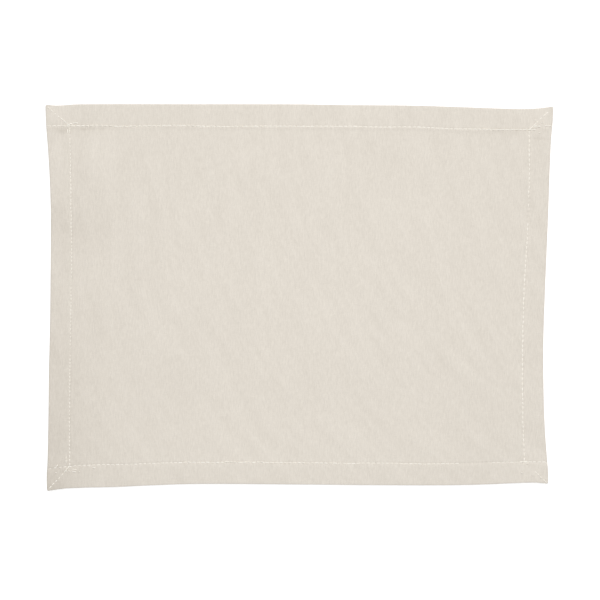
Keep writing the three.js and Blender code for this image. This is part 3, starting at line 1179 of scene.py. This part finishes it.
def plain_weave_group() -> bpy.types.NodeTree:
    """Builds the group that draws yarns passing over and under each other one by one.

    Returns:
        The group. Its numbers for the yarns change from one yarn to the next, and are the same along each.
    """
    graph = shader_group(
        "plain_weave",
        {
            "Vector": ("NodeSocketVector", None),
            "Warp Pitch": ("NodeSocketFloat", 0.8 * MM),
            "Weft Pitch": ("NodeSocketFloat", 0.8 * MM),
            "Crimp": ("NodeSocketFloat", 0.5),
        },
        ("Height", "Gap", "Warp On Top", "Warp Number", "Weft Number"),
    )
    source = graph.add("NodeGroupInput").outputs
    place = graph.parts(source["Vector"])
    across = graph.calc("DIVIDE", place["X"], source["Warp Pitch"])
    up = graph.calc("DIVIDE", place["Y"], source["Weft Pitch"])
    warp, weft = graph.calc("FLOOR", across), graph.calc("FLOOR", up)
    in_warp = graph.calc("SUBTRACT", graph.calc("FRACT", across), 0.5)
    in_weft = graph.calc("SUBTRACT", graph.calc("FRACT", up), 0.5)
    turn = graph.calc("COSINE", graph.calc("MULTIPLY", graph.calc("ADD", warp, weft), math.pi))

    def yarn(inside: Socket, beside: Socket, over: Socket | float) -> Socket:
        """The height of a yarn: round across, and rising and falling along."""
        width = graph.calc("MULTIPLY", inside, 2.0)
        square = graph.calc("SUBTRACT", 1.0, graph.calc("MULTIPLY", width, width))
        round_top = graph.calc("SQRT", graph.calc("MAXIMUM", square, 0.0))
        wave = graph.calc("COSINE", graph.calc("MULTIPLY", beside, math.pi))
        crimp = graph.calc("MULTIPLY", graph.calc("MULTIPLY", wave, over), source["Crimp"])
        return graph.calc("ADD", round_top, crimp)

    whole_gap, no_gap = 0.35, 1.0  # the heights at which a gap between yarns is whole, and closed
    warp_height = yarn(in_warp, in_weft, turn)
    weft_height = yarn(in_weft, in_warp, graph.calc("MULTIPLY", turn, -1.0))
    height = graph.calc("MAXIMUM", warp_height, weft_height)
    graph.add(
        "NodeGroupOutput",
        {
            "Height": height,
            "Gap": graph.spread(height, whole_gap, no_gap, 1.0, 0.0),
            "Warp On Top": graph.calc("GREATER_THAN", warp_height, weft_height),
            "Warp Number": warp,
            "Weft Number": weft,
        },
    )
    return graph.tree


def fibre_group() -> bpy.types.NodeTree:
    """Builds the group for the fine cotton fibres that cloth and thread share.

    Returns:
        The group, with a tone that wanders round a half and a fuzz for the height of the surface.
    """
    graph = shader_group(
        "cotton_fibres",
        {
            "Vector": ("NodeSocketVector", None),
            "Fibre Size": ("NodeSocketFloat", 0.2 * MM),
            "Stretch": ("NodeSocketFloat", 2.0),
        },
        ("Tone", "Fuzz"),
    )
    tone_frequency = 0.23  # of the frequency of the fibres
    tone_range, fuzz_range = (0.28, 0.72), (0.25, 0.75)  # where each noise becomes 0 and 1
    source = graph.add("NodeGroupInput").outputs
    drawn_out = graph.vector("DIVIDE", source["Vector"], graph.combine(source["Stretch"], 1.0, 1.0))
    frequency = graph.calc("DIVIDE", 1.0, source["Fibre Size"])
    fine = graph.noise(drawn_out, frequency, 3.0)[0]
    coarse = graph.noise(drawn_out, graph.calc("MULTIPLY", frequency, tone_frequency), 2.0)[0]
    tone, fuzz = graph.spread(coarse, *tone_range), graph.spread(fine, *fuzz_range)
    graph.add("NodeGroupOutput", {"Tone": tone, "Fuzz": fuzz})
    return graph.tree


def new_material(name: str) -> tuple[bpy.types.Material, Graph, bpy.types.Node]:
    """Starts a material.

    Args:
        name: Its name.

    Returns:
        The material, the graph of its tree and its Principled BSDF.
    """
    material = bpy.data.materials.new(name)
    material.use_nodes = True
    material.node_tree.nodes.clear()
    graph = Graph(material.node_tree)
    surface = graph.add("ShaderNodeBsdfPrincipled")
    graph.add("ShaderNodeOutputMaterial", {"Surface": surface.outputs[0]})
    return material, graph, surface


@dataclass(frozen=True)
class CanvasFinish:
    """Undyed cotton canvas in plain weave, with slubs that show most in the yarns that run up the mat.

    Attributes:
        pale: The palest yarns.
        deep: The deepest yarns.
        shade: The painted shade between the yarns.
        warp_pitch: The width of a yarn that runs up the mat.
        weft_pitch: The width of one that runs across it.
        yarn_height: How far the yarns stand out.
        fuzz_height: How far their fibres do.
        sheen: How much the fibres catch light at a slant.
    """

    pale: Colour = (0.800, 0.748, 0.672)
    deep: Colour = (0.665, 0.614, 0.542)
    shade: Colour = (0.500, 0.446, 0.372)
    warp_pitch: float = 0.80
    weft_pitch: float = 0.86
    yarn_height: float = 0.16
    fuzz_height: float = 0.05
    sheen: float = 0.2

    SLUB_ALONG = 4.4  # the usual length of a slub
    WARP_SHARE = 0.5  # how much the slubs that run up the mat show through the others
    WAVE = 12.0  # the usual width of the faint slanting waves in the tone of the cloth
    WAVE_STRETCH = 4.2
    WAVE_LEAN = 0.49  # how far a wave leans aside in the middle of the mat for its way up
    WAVE_BEND = 1.17  # how much less it leans for each metre further up
    WAVE_TURN = 1.0  # how much more it leans for each metre further right
    WAVE_SHARE = 0.24
    PAINTED_SHADE_SHARE = 0.4  # of the way from the palest to the deepest yarns, in a spot of painted shade of depth 1
    WANDER = 0.9  # how widely the yarns wander, from one side to the other
    WANDER_LENGTH = 11.0
    FIBRE_SIZE = 0.22
    FIBRE_STRETCH = 0.6
    GAP_SHARE = 0.55  # of the way to the painted shade, in the deepest gaps between the yarns
    FIBRE_SHARE = 0.12  # of the way to the palest yarns, on the palest fibres
    ROUGHNESS = (0.84, 0.97)
    TONE_SPREAD = (0.26, 0.74)  # of the mixed noises, from the deepest tone to the palest

    def material(self, weave: bpy.types.NodeTree, fibres: bpy.types.NodeTree) -> bpy.types.Material:
        """Builds the canvas.

        Args:
            weave: The group that draws the yarns.
            fibres: The group for their fibres.

        Returns:
            The material, on the cloth's own map.
        """
        material, graph, surface = new_material("natural_canvas")
        flat = graph.add("ShaderNodeUVMap", uv_map=WeaveMap.NAME).outputs[0]
        wander = graph.noise(flat, 1 / (self.WANDER_LENGTH * MM), 1.0)["Color"]
        aside = graph.scaled(graph.vector("SUBTRACT", wander, (0.5, 0.5, 0.5)), self.WANDER * MM)
        drawn = graph.vector("ADD", flat, aside)
        pitches = {"Warp Pitch": self.warp_pitch * MM, "Weft Pitch": self.weft_pitch * MM}
        yarns = graph.add("ShaderNodeGroup", {"Vector": drawn} | pitches, node_tree=weave).outputs
        fibre = {"Vector": drawn, "Fibre Size": self.FIBRE_SIZE * MM, "Stretch": self.FIBRE_STRETCH}
        fluff = graph.add("ShaderNodeGroup", fibre, node_tree=fibres).outputs
        tone = self._tone(graph, flat, yarns)
        # Painted shade darkens the yarns' tone where the cloth lies in shade, and painted light pales it
        # where a spot is below 0.
        painted_shade = graph.add("ShaderNodeAttribute", attribute_name=PaintedShadeMap.NAME).outputs["Fac"]
        tone_and_painted_shade = graph.calc("SUBTRACT", tone, graph.calc("MULTIPLY", painted_shade, self.PAINTED_SHADE_SHARE))
        base = graph.blend(tone_and_painted_shade, self.deep, self.pale)
        shaded = graph.blend(graph.calc("MULTIPLY", yarns["Gap"], self.GAP_SHARE), base, self.shade)
        fibrous = graph.blend(graph.calc("MULTIPLY", fluff["Tone"], self.FIBRE_SHARE), shaded, self.pale)
        yarn_relief = graph.calc("MULTIPLY", yarns["Height"], self.yarn_height)
        fuzz_relief = graph.calc("MULTIPLY", fluff["Fuzz"], self.fuzz_height)
        relief = graph.calc("ADD", yarn_relief, fuzz_relief)
        normal = graph.add("ShaderNodeBump", {"Height": relief, "Distance": MM, "Strength": 1.0})
        graph.feed(surface, {
            "Base Color": fibrous,
            "Roughness": graph.spread(fluff["Tone"], 0.0, 1.0, *self.ROUGHNESS),
            "Normal": normal.outputs[0],
            "Sheen Weight": self.sheen,
            "Sheen Roughness": 0.55,
            "Specular IOR Level": 0.25,
        })
        return material

    def _tone(self, graph: Graph, flat: Socket, yarns: bpy.types.NodeOutputs) -> Socket:
        """Gives each place its tone: its yarns' own, with slubs, and faint waves over all."""
        place = graph.parts(flat)
        slubs = []
        for number, along, seed in (("Warp Number", "Y", 3.7), ("Weft Number", "X", 9.1)):
            run = graph.calc("DIVIDE", place[along], self.SLUB_ALONG * MM)
            lane = graph.calc("MULTIPLY", yarns[number], GOLDEN * seed)
            slubs.append(graph.noise(graph.combine(lane, run, seed), 1.0, 1.5)[0])
        own = graph.mix(yarns["Warp On Top"], slubs[1], slubs[0])
        streak = graph.mix(self.WARP_SHARE, own, slubs[0])
        bent = graph.calc("SUBTRACT", self.WAVE_LEAN, graph.calc("MULTIPLY", place["Y"], self.WAVE_BEND))
        lean = graph.calc("ADD", bent, graph.calc("MULTIPLY", place["X"], self.WAVE_TURN))
        aside = graph.calc("ADD", place["X"], graph.calc("MULTIPLY", place["Y"], lean))
        along_wave = graph.calc("DIVIDE", place["Y"], self.WAVE_STRETCH)
        wave = graph.noise(graph.combine(aside, along_wave), 1 / (self.WAVE * MM), 1.0)[0]
        waves = graph.calc("MULTIPLY", wave, self.WAVE_SHARE)
        both = graph.calc("ADD", graph.calc("MULTIPLY", streak, 1 - self.WAVE_SHARE), waves)
        return graph.spread(both, *self.TONE_SPREAD)


@dataclass(frozen=True)
class ThreadFinish:
    """Cream cotton sewing thread of three plies.

    Attributes:
        pale: Its palest stitches.
        deep: Its deepest stitches.
        ply_shade: The painted shade between the plies.
        twist: The length in which a ply goes once round.
        plies: How many there are.
    """

    pale: Colour = (1.0, 0.97, 0.9)
    deep: Colour = (0.93, 0.885, 0.8)
    ply_shade: Colour = (0.70, 0.64, 0.54)
    twist: float = 1.5
    plies: int = 3

    FIBRE_SIZE = 0.12
    FIBRE_STRETCH = 3.0
    FUZZ_SHARE = 0.3  # of the height of a ply
    GROOVE_TOP = 0.3  # of that height, up to where the painted shade between the plies reaches
    PLY_SHADE_SHARE = 0.4  # of the way to that painted shade, at the deepest
    PLY_RELIEF = 0.07
    ROUGHNESS = (0.6, 0.85)

    def material(self, fibres: bpy.types.NodeTree) -> bpy.types.Material:
        """Builds the thread.

        Args:
            fibres: The group for its fibres.

        Returns:
            The material, on the places that the stitches carry.
        """
        material, graph, surface = new_material("sewing_thread")
        own = graph.add("ShaderNodeAttribute", attribute_name=StitchTree.PLACE).outputs["Vector"]
        place = graph.parts(own)
        round_it = graph.calc("ARCTAN2", place["Z"], place["Y"])
        along = graph.calc("MULTIPLY", place["X"], 2 * math.pi / (self.twist * MM))
        wound = graph.calc("MULTIPLY", graph.calc("ADD", round_it, along), float(self.plies))
        ply_height = graph.spread(graph.calc("SINE", wound), -1.0, 1.0)
        ply_shade_share = graph.spread(ply_height, 0.0, self.GROOVE_TOP, self.PLY_SHADE_SHARE, 0.0)
        tone = graph.add("ShaderNodeAttribute", attribute_name=StitchTree.TONE).outputs["Fac"]
        fibre = {"Vector": own, "Fibre Size": self.FIBRE_SIZE * MM, "Stretch": self.FIBRE_STRETCH}
        fluff = graph.add("ShaderNodeGroup", fibre, node_tree=fibres).outputs
        base = graph.blend(tone, self.deep, self.pale)
        fuzz = graph.calc("MULTIPLY", fluff["Fuzz"], self.FUZZ_SHARE)
        relief = graph.calc("ADD", ply_height, fuzz)
        bump_size = {"Height": relief, "Distance": self.PLY_RELIEF * MM, "Strength": 1.0}
        graph.feed(surface, {
            "Base Color": graph.blend(ply_shade_share, base, self.ply_shade),
            "Roughness": graph.spread(fluff["Tone"], 0.0, 1.0, *self.ROUGHNESS),
            "Normal": graph.add("ShaderNodeBump", bump_size).outputs[0],
            "Sheen Weight": 0.25,
            "Sheen Roughness": 0.45,
            "Specular IOR Level": 0.3,
        })
        return material


class StitchTree:
    """The Geometry Nodes tree that lays one stitch of thread on every edge of a mesh of needle holes."""

    PLACE = "thread_place"
    TONE = "stitch_tone"
    RINGS = 10
    SIDES = 6
    ARCH = 2.0  # how late a stitch dives: its fall grows as this power of the way to its ends

    def __init__(self) -> None:
        """Builds the tree with its named inputs."""
        self.tree = bpy.data.node_groups.new("stitch_on_every_edge", "GeometryNodeTree")
        self.graph = Graph(self.tree)
        sizes = ("Stitch Length", "Thread Radius", "Crown", "Sink", "Height Spread", "Turn Spread")
        kinds = {"Geometry": "Geometry"} | dict.fromkeys(sizes, "Float")
        kinds |= {"Up": "Vector", "Seed": "Int", "Material": "Material"}
        face = self.tree.interface
        for label, kind in kinds.items():
            face.new_socket(name=label, in_out="INPUT", socket_type=f"NodeSocket{kind}")
        face.new_socket(name="Geometry", in_out="OUTPUT", socket_type="NodeSocketGeometry")
        self._wire()

    def _wire(self) -> None:
        """Wires the tree: points on the edges, a stitch on each point, made real and dressed."""
        graph = self.graph
        source = graph.add("NodeGroupInput").outputs
        ends = graph.add("GeometryNodeInputMeshEdgeVertices").outputs
        way = graph.vector("SUBTRACT", ends["Position 2"], ends["Position 1"])
        holes, way = self._kept(source["Geometry"], "Way", way, "EDGE")
        points = graph.add("GeometryNodeMeshToPoints", {"Mesh": holes}, mode="EDGES").outputs[0]

        rise = self._random(source["Height Spread"], source["Seed"], 1)
        offset = graph.scaled(source["Up"], rise)
        points = graph.add("GeometryNodeSetPosition", {"Geometry": points, "Offset": offset}).outputs[0]
        facing = graph.add(
            "FunctionNodeAxesToRotation",
            {"Primary Axis": way, "Secondary Axis": source["Up"]},
            primary_axis="X",
            secondary_axis="Z",
        ).outputs[0]
        yaw = graph.add(
            "FunctionNodeAxisAngleToRotation",
            {"Axis": (0.0, 0.0, 1.0), "Angle": self._random(source["Turn Spread"], source["Seed"], 2)},
        ).outputs[0]
        turned = graph.add(
            "FunctionNodeRotateRotation", {"Rotation": facing, "Rotate By": yaw}, rotation_space="LOCAL"
        ).outputs[0]
        length = graph.add("ShaderNodeVectorMath", {0: way}, operation="LENGTH").outputs["Value"]
        stretch = graph.calc("DIVIDE", length, source["Stitch Length"])
        scale = graph.combine(stretch, 1.0, 1.0)
        laid = graph.add(
            "GeometryNodeInstanceOnPoints",
            {"Points": points, "Instance": self._stitch(source), "Rotation": turned, "Scale": scale},
        ).outputs[0]
        tone = self._draw(source["Seed"], 3)
        toned = graph.add(
            "GeometryNodeStoreNamedAttribute",
            {"Geometry": laid, "Name": self.TONE, "Value": tone},
            data_type="FLOAT",
            domain="INSTANCE",
        ).outputs[0]
        real = graph.add("GeometryNodeRealizeInstances", {"Geometry": toned}).outputs[0]
        dressed = graph.add("GeometryNodeSetMaterial", {"Geometry": real, "Material": source["Material"]})
        graph.add("NodeGroupOutput", {"Geometry": dressed.outputs[0]})

    def _draw(self, seed: Socket, number: int) -> Socket:
        """Gives each point a random number from 0 to 1, another one for each number of the draw."""
        inputs = {"Seed": self.graph.calc("ADD", seed, float(number))}
        return self.graph.add("FunctionNodeRandomValue", inputs, data_type="FLOAT").outputs["Value"]

    def _random(self, spread: Socket, seed: Socket, number: int) -> Socket:
        """Gives each point a random number between less and plus the spread."""
        twice = self.graph.calc("MULTIPLY", self._draw(seed, number), 2.0)
        return self.graph.calc("MULTIPLY", self.graph.calc("SUBTRACT", twice, 1.0), spread)

    def _stitch(self, source: bpy.types.NodeOutputs) -> Socket:
        """Makes one stitch: a tube that comes out of the cloth, lies on it and goes in again."""
        graph = self.graph
        half = graph.calc("MULTIPLY", source["Stitch Length"], 0.5)
        back = graph.calc("MULTIPLY", half, -1.0)
        ends = {"Start": graph.combine(back), "End": graph.combine(half)}
        line = graph.add("GeometryNodeCurvePrimitiveLine", ends).outputs[0]
        line = graph.add("GeometryNodeResampleCurve", {"Curve": line, "Count": self.RINGS}).outputs[0]
        factor = graph.add("GeometryNodeSplineParameter").outputs["Factor"]
        from_start = graph.calc("MULTIPLY", factor, 2.0)
        from_middle = graph.calc("ABSOLUTE", graph.calc("SUBTRACT", from_start, 1.0))
        fall = graph.calc("POWER", from_middle, self.ARCH)
        depth = graph.calc("MULTIPLY", fall, graph.calc("ADD", source["Crown"], source["Sink"]))
        height = graph.calc("SUBTRACT", source["Crown"], depth)
        offset = graph.combine(0.0, 0.0, height)
        line = graph.add("GeometryNodeSetPosition", {"Geometry": line, "Offset": offset}).outputs[0]
        ring = graph.add(
            "GeometryNodeCurvePrimitiveCircle",
            {"Resolution": self.SIDES, "Radius": source["Thread Radius"]},
        ).outputs[0]
        position = graph.add("GeometryNodeInputPosition").outputs[0]
        line, along = self._kept(line, "Along", position, "POINT")
        ring, round_it = self._kept(ring, "Round", position, "POINT")
        tube = graph.add(
            "GeometryNodeCurveToMesh", {"Curve": line, "Profile Curve": ring, "Fill Caps": True}
        ).outputs[0]
        beside = graph.parts(round_it)
        place = graph.combine(graph.parts(along)["X"], beside["X"], beside["Y"])
        return graph.add(
            "GeometryNodeStoreNamedAttribute",
            {"Geometry": tube, "Name": self.PLACE, "Value": place},
            data_type="FLOAT_VECTOR",
            domain="POINT",
        ).outputs[0]

    def _kept(self, shape: Socket, label: str, value: Socket, domain: str) -> tuple[Socket, Socket]:
        """Keeps a vector of a shape's points or edges for what is made from it.

        Args:
            shape: The mesh or curve.
            label: What to call the vector.
            value: The vector.
            domain: POINT or EDGE.

        Returns:
            The shape and the kept vector.
        """
        node = self.graph.add("GeometryNodeCaptureAttribute", domain=domain)
        node.capture_items.new("VECTOR", label)
        self.graph.feed(node, {"Geometry": shape, label: value})
        return node.outputs["Geometry"], node.outputs[label]

    def apply(self, obj: bpy.types.Object, values: dict[str, object]) -> None:
        """Turns an object's mesh of needle holes into its stitches.

        Args:
            obj: The object, whose mesh has an edge for each stitch.
            values: The tree's inputs by name.
        """
        modifier = obj.modifiers.new("stitches", "NODES")
        modifier.node_group = self.tree
        for item in self.tree.interface.items_tree:
            if item.in_out == "INPUT" and item.name in values:
                modifier[item.identifier] = values[item.name]
        obj.update_tag()
        depsgraph = bpy.context.evaluated_depsgraph_get()
        made = bpy.data.meshes.new_from_object(
            obj.evaluated_get(depsgraph), preserve_all_data_layers=True, depsgraph=depsgraph
        )
        obj.modifiers.remove(modifier)
        holes = obj.data
        obj.data = made
        made.name = obj.name
        bpy.data.meshes.remove(holes)
        made.shade_smooth()


class Layer(Enum):
    """The two layers of a row: the stitches on the face and those of the bobbin on the underside."""

    FACE = "face"
    UNDERSIDE = "underside"


@dataclass(frozen=True)
class Topstitching:
    """The thread that holds the hem.

    Attributes:
        sewing: Where the needle holes are.
        relief: How high the cloth lies there.
        tree: The tree that makes the stitches.
        material: The thread's finish.
        thread: The thread's diameter.
        crown: How far a stitch rises above the line between its needle holes.
        sink: How far its ends go below it.
        height_spread: How much stitches differ in height.
        turn_spread: How far they turn off the row, in degrees.
        bobbin_crown: How far a stitch of the underside falls below the line between its needle holes.
        bobbin_sink: How far its ends go up into the cloth.
        bobbin_height: How far above the table those needle holes are.
    """

    sewing: SewingPlan
    relief: ClothRelief
    tree: StitchTree
    material: bpy.types.Material
    thread: float = 0.9
    crown: float = 0.55
    sink: float = 0.85
    height_spread: float = 0.07
    turn_spread: float = 3.0
    bobbin_crown: float = 0.2
    bobbin_sink: float = 0.45
    bobbin_height: float = 0.67

    def build(
        self, layer: Layer, rows: Sequence[SewnRow], extra: Sequence[Sequence[Point]], name: str
    ) -> bpy.types.Object:
        """Sews rows on one layer of the cloth.

        Args:
            layer: The face or the underside.
            rows: The rows to sew.
            extra: Runs of needle holes outside them, to sew as well.
            name: The piece's name.

        Returns:
            The stitches as one object, at the origin.
        """
        paths = [(row.holes, row.slack.at(row.hole_places)) for row in rows]
        paths += [(np.array(run), 0.0) for run in extra]
        points, edges = [], []
        face = layer is Layer.FACE
        for path, slack in paths:
            z = np.full(len(path), self.bobbin_height)
            if face:
                over_table = self.sink + self.thread / 2
                z = np.maximum(self.relief.at(path[:, 0], path[:, 1]).face + slack, over_table)
            first = len(points)
            points += np.column_stack([path, z]).tolist()
            edges += [(first + i, first + i + 1) for i in range(len(path) - 1)]
        mesh = bpy.data.meshes.new(name)
        mesh.from_pydata((np.array(points) * MM).tolist(), edges, [])
        mesh.update()
        stitches = place_in_scene(name, mesh)
        self.tree.apply(stitches, {
            "Stitch Length": self.sewing.pitches[Side.TOP.value] * MM,
            "Thread Radius": self.thread / 2 * MM,
            "Crown": (self.crown if face else self.bobbin_crown) * MM,
            "Sink": (self.sink if face else self.bobbin_sink) * MM,
            "Height Spread": (self.height_spread if face else 0.0) * MM,
            "Turn Spread": math.radians(self.turn_spread),
            "Up": (0.0, 0.0, 1.0 if face else -1.0),
            "Seed": rows[0].seed,
            "Material": self.material,
        })
        return stitches


class Softbox(NamedTuple):
    """A square light that faces the mat.

    Attributes:
        name: Its name.
        place: Where it hangs, in metres.
        size: The length of its sides, in metres.
        watts: Its power.
    """

    name: str
    place: tuple[float, float, float]
    size: float
    watts: float


@dataclass(frozen=True)
class Studio:
    """The pale table, the soft light and the camera above the mat.

    Attributes:
        centre: The point of the mat under the camera, in metres.
        frame_width: The width of the picture on the mat.
        height: How high the camera hangs, in metres.
        sky: The strength of the light from all round.
    """

    centre: Vector = field(default_factory=lambda: Vector((0.47 * MM, -2.3 * MM, 1.2 * MM)))
    frame_width: float = 540.0
    height: float = 1.5
    sky: float = 0.4985

    SOFTBOXES = (
        Softbox("key_softbox", (0.35, 1.7, 2.3), 1.4, 32.4),
        Softbox("top_softbox", (0.015, -0.03, 0.95), 0.5, 3.2),
    )
    TABLE_SIDE = 6.0
    TABLE_DROP = 0.05  # how far the table lies below the cloth, so that the two don't share a plane
    SENSOR = 36.0

    def build(self) -> None:
        """Makes the table, the lights, the sky and the camera."""
        self._table()
        for softbox in self.SOFTBOXES:
            self._light(softbox)
        world = bpy.data.worlds.new("studio_sky")
        bpy.context.scene.world = world
        world.use_nodes = True
        background = world.node_tree.nodes["Background"]
        background.inputs["Color"].default_value = (1.0, 1.0, 1.0, 1.0)
        background.inputs["Strength"].default_value = self.sky
        bpy.context.scene.view_settings.view_transform = "Standard"
        self._camera()

    def _table(self) -> None:
        """Makes the pale table top."""
        half, z = self.TABLE_SIDE / 2, -self.TABLE_DROP * MM
        mesh = bpy.data.meshes.new("table_top")
        corners = [(-half, -half, z), (half, -half, z), (half, half, z), (-half, half, z)]
        mesh.from_pydata(corners, [], [(0, 1, 2, 3)])
        table = place_in_scene("table_top", mesh)
        material, graph, surface = new_material("white_table")
        graph.feed(surface, {
            "Base Color": (0.93, 0.93, 0.93, 1.0),
            "Roughness": 0.8,
            "Emission Color": (1.0, 1.0, 1.0, 1.0),
            "Emission Strength": 0.22,
        })
        mesh.materials.append(material)

    def _light(self, softbox: Softbox) -> None:
        """Hangs a softbox and turns it to the mat."""
        light = bpy.data.lights.new(softbox.name, "AREA")
        light.shape, light.size, light.energy = "SQUARE", softbox.size, softbox.watts
        box = place_in_scene(softbox.name, light)
        box.location = softbox.place
        box.rotation_euler = (-Vector(softbox.place)).to_track_quat("-Z", "Y").to_euler()

    def _camera(self) -> None:
        """Hangs the camera straight above the mat."""
        lens = bpy.data.cameras.new("overhead_camera")
        lens.sensor_width = self.SENSOR
        lens.lens = self.SENSOR * self.height / (self.frame_width * MM)
        camera = place_in_scene("overhead_camera", lens)
        camera.location = self.centre + Vector((0.0, 0.0, self.height))
        bpy.context.scene.camera = camera


def main() -> None:
    """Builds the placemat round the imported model, part by part."""
    logging.basicConfig(level=logging.INFO, format="%(name)s: %(message)s")
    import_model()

    plan = MatPlan.centred_on(*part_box(CLOTH_NODE))
    sewing = SewingPlan(plan)
    relief = ClothRelief(plan, sewing)
    weave, fibres = plain_weave_group(), fibre_group()

    cloth = HemmedCloth(plan, relief).build()
    cloth.data.materials.append(CanvasFinish().material(weave, fibres))
    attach(cloth, BODY)
    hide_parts(CLOTH_NODE)

    stitching = Topstitching(sewing, relief, StitchTree(), ThreadFinish().material(fibres))
    long_and_short = [row for row in sewing.rows if not row.on_mitre]
    mitres = [row for row in sewing.rows if row.on_mitre]
    sewn = [
        stitching.build(Layer.FACE, long_and_short, SewingPlan.LOOSE, "topstitch_rows"),
        stitching.build(Layer.FACE, mitres, (), "topstitch_mitres"),
        stitching.build(Layer.UNDERSIDE, long_and_short, (), "bobbin_rows"),
        stitching.build(Layer.UNDERSIDE, mitres, (), "bobbin_mitres"),
    ]
    for piece in sewn:
        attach(piece, BODY)
    for piece in (cloth, *sewn):
        LOG.info("%s: %d faces", piece.name, len(piece.data.polygons))

    Studio().build()


if __name__ == "__main__":
    main()
